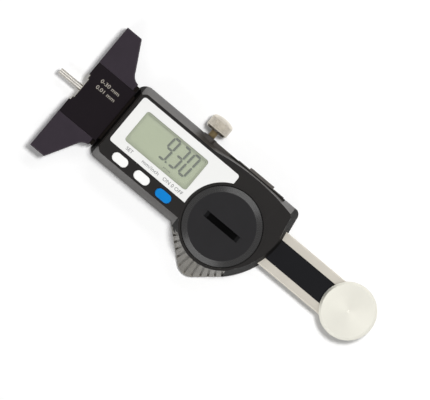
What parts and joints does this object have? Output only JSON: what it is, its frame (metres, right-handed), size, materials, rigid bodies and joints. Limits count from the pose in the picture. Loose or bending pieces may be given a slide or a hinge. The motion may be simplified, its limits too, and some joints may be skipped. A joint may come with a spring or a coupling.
{
  "type": "depth caliper",
  "caption": "Digital depth caliper: a pin stands out of a T-shaped bridge as a beam with a round thumb knob slides through a display housing.",
  "frame": {"origin": "on the measuring pin's axis, in the plane of the measuring faces", "axes": "-X the way the pin comes out, +X along the beam to the knob, +Y to the clamping screw, +Z out of the display"},
  "size_m": [0.1514, 0.0574, 0.0149],
  "materials": {
    "black_anodised": "satin black anodised aluminium",
    "black_plastic": "fine textured black moulding",
    "white_panel": "smooth white",
    "clear": "clear",
    "display": "grey green display glass",
    "white_button": "smooth white",
    "blue_button": "smooth blue",
    "steel": "ground stainless steel",
    "polished_steel": "turned and polished",
    "black_film": "smooth black film",
    "board": "green solder mask",
    "grey_plastic": "plain grey",
    "brass": "plain brass",
    "rubber": "plain rubber",
    "cell_steel": "nickel plated steel"
  },
  "bodies": {
    "case": {"bridge": "black_anodised", "bridge_cover": "black_anodised", "bridge_screws": "steel", "slide_frame": "steel", "back_plate": "steel", "back_plate_screws": "steel", "gib_strip": "brass", "gib_screws": "steel", "front_shell": "black_plastic", "rear_cover": "black_plastic", "case_screws": "steel", "display_panel": "white_panel", "display_window": "clear", "lcd_glass": "display", "lcd_holder": "grey_plastic", "zebra_strips": "rubber", "main_board": "board", "board_chip": "black_plastic", "board_screws": "steel", "switch_domes": "cell_steel", "battery_cell": "cell_steel", "contact_negative": "cell_steel", "contact_positive": "cell_steel", "data_contacts": "grey_plastic"},
    "slider": {"beam": "steel", "scale_board": "board", "scale_film": "black_film", "measuring_pin": "steel", "pin_set_screw": "steel", "travel_stop": "steel", "end_knob": "polished_steel", "knob_screw": "steel"},
    "preset_key": {"preset_button": "white_button"},
    "unit_key": {"unit_button": "white_button"},
    "power_key": {"power_button": "blue_button"},
    "seal_ring": {"cover_seal": "rubber"},
    "battery_cap": {"battery_cover": "black_plastic"},
    "clamp_pad": {"lock_pad": "brass"},
    "clamp_screw": {"lock_screw": "polished_steel"},
    "port_slide": {"data_port_cover": "black_plastic"}
  },
  "joints": [
    {"name": "beam_slide", "type": "slide", "parent": "case", "child": "slider", "axis": [-1, 0, 0], "range_m": [-0.0093, 0.0207]},
    {"name": "preset_press", "type": "slide", "parent": "case", "child": "preset_key", "axis": [0, 0, -1], "range_m": [0, 0.0003], "stiffness_N_per_m": 1500, "springref_m": -0.0003},
    {"name": "unit_press", "type": "slide", "parent": "case", "child": "unit_key", "axis": [0, 0, -1], "range_m": [0, 0.0003], "stiffness_N_per_m": 1500, "springref_m": -0.0003},
    {"name": "power_press", "type": "slide", "parent": "case", "child": "power_key", "axis": [0, 0, -1], "range_m": [0, 0.0003], "stiffness_N_per_m": 1500, "springref_m": -0.0003},
    {"name": "cap_lift", "type": "slide", "parent": "case", "child": "seal_ring", "axis": [0, 0, 1], "range_m": [0, 0.00151]},
    {"name": "cap_turn", "type": "hinge", "parent": "seal_ring", "child": "battery_cap", "pos_m": [0.0747, -0.006, 0.01], "axis": [0, 0, 1], "range_deg": [0, 540]},
    {"name": "clamp_advance", "type": "slide", "parent": "case", "child": "clamp_pad", "axis": [0, -1, 0], "range_m": [-0.001, 0.00014]},
    {"name": "clamp_turn", "type": "hinge", "parent": "clamp_pad", "child": "clamp_screw", "pos_m": [0.05, 0.0225, 0], "axis": [0, -1, 0], "range_deg": [-725, 105]},
    {"name": "port_cover_slide", "type": "slide", "parent": "case", "child": "port_slide", "axis": [-1, 0, 0], "range_m": [0, 0.0106]}
  ],
  "couplings": [
    {"joint": "cap_lift", "follows": "cap_turn", "m_per_rad": 0.00015915},
    {"joint": "clamp_turn", "follows": "clamp_advance", "rad_per_m": 12566}
  ]
}
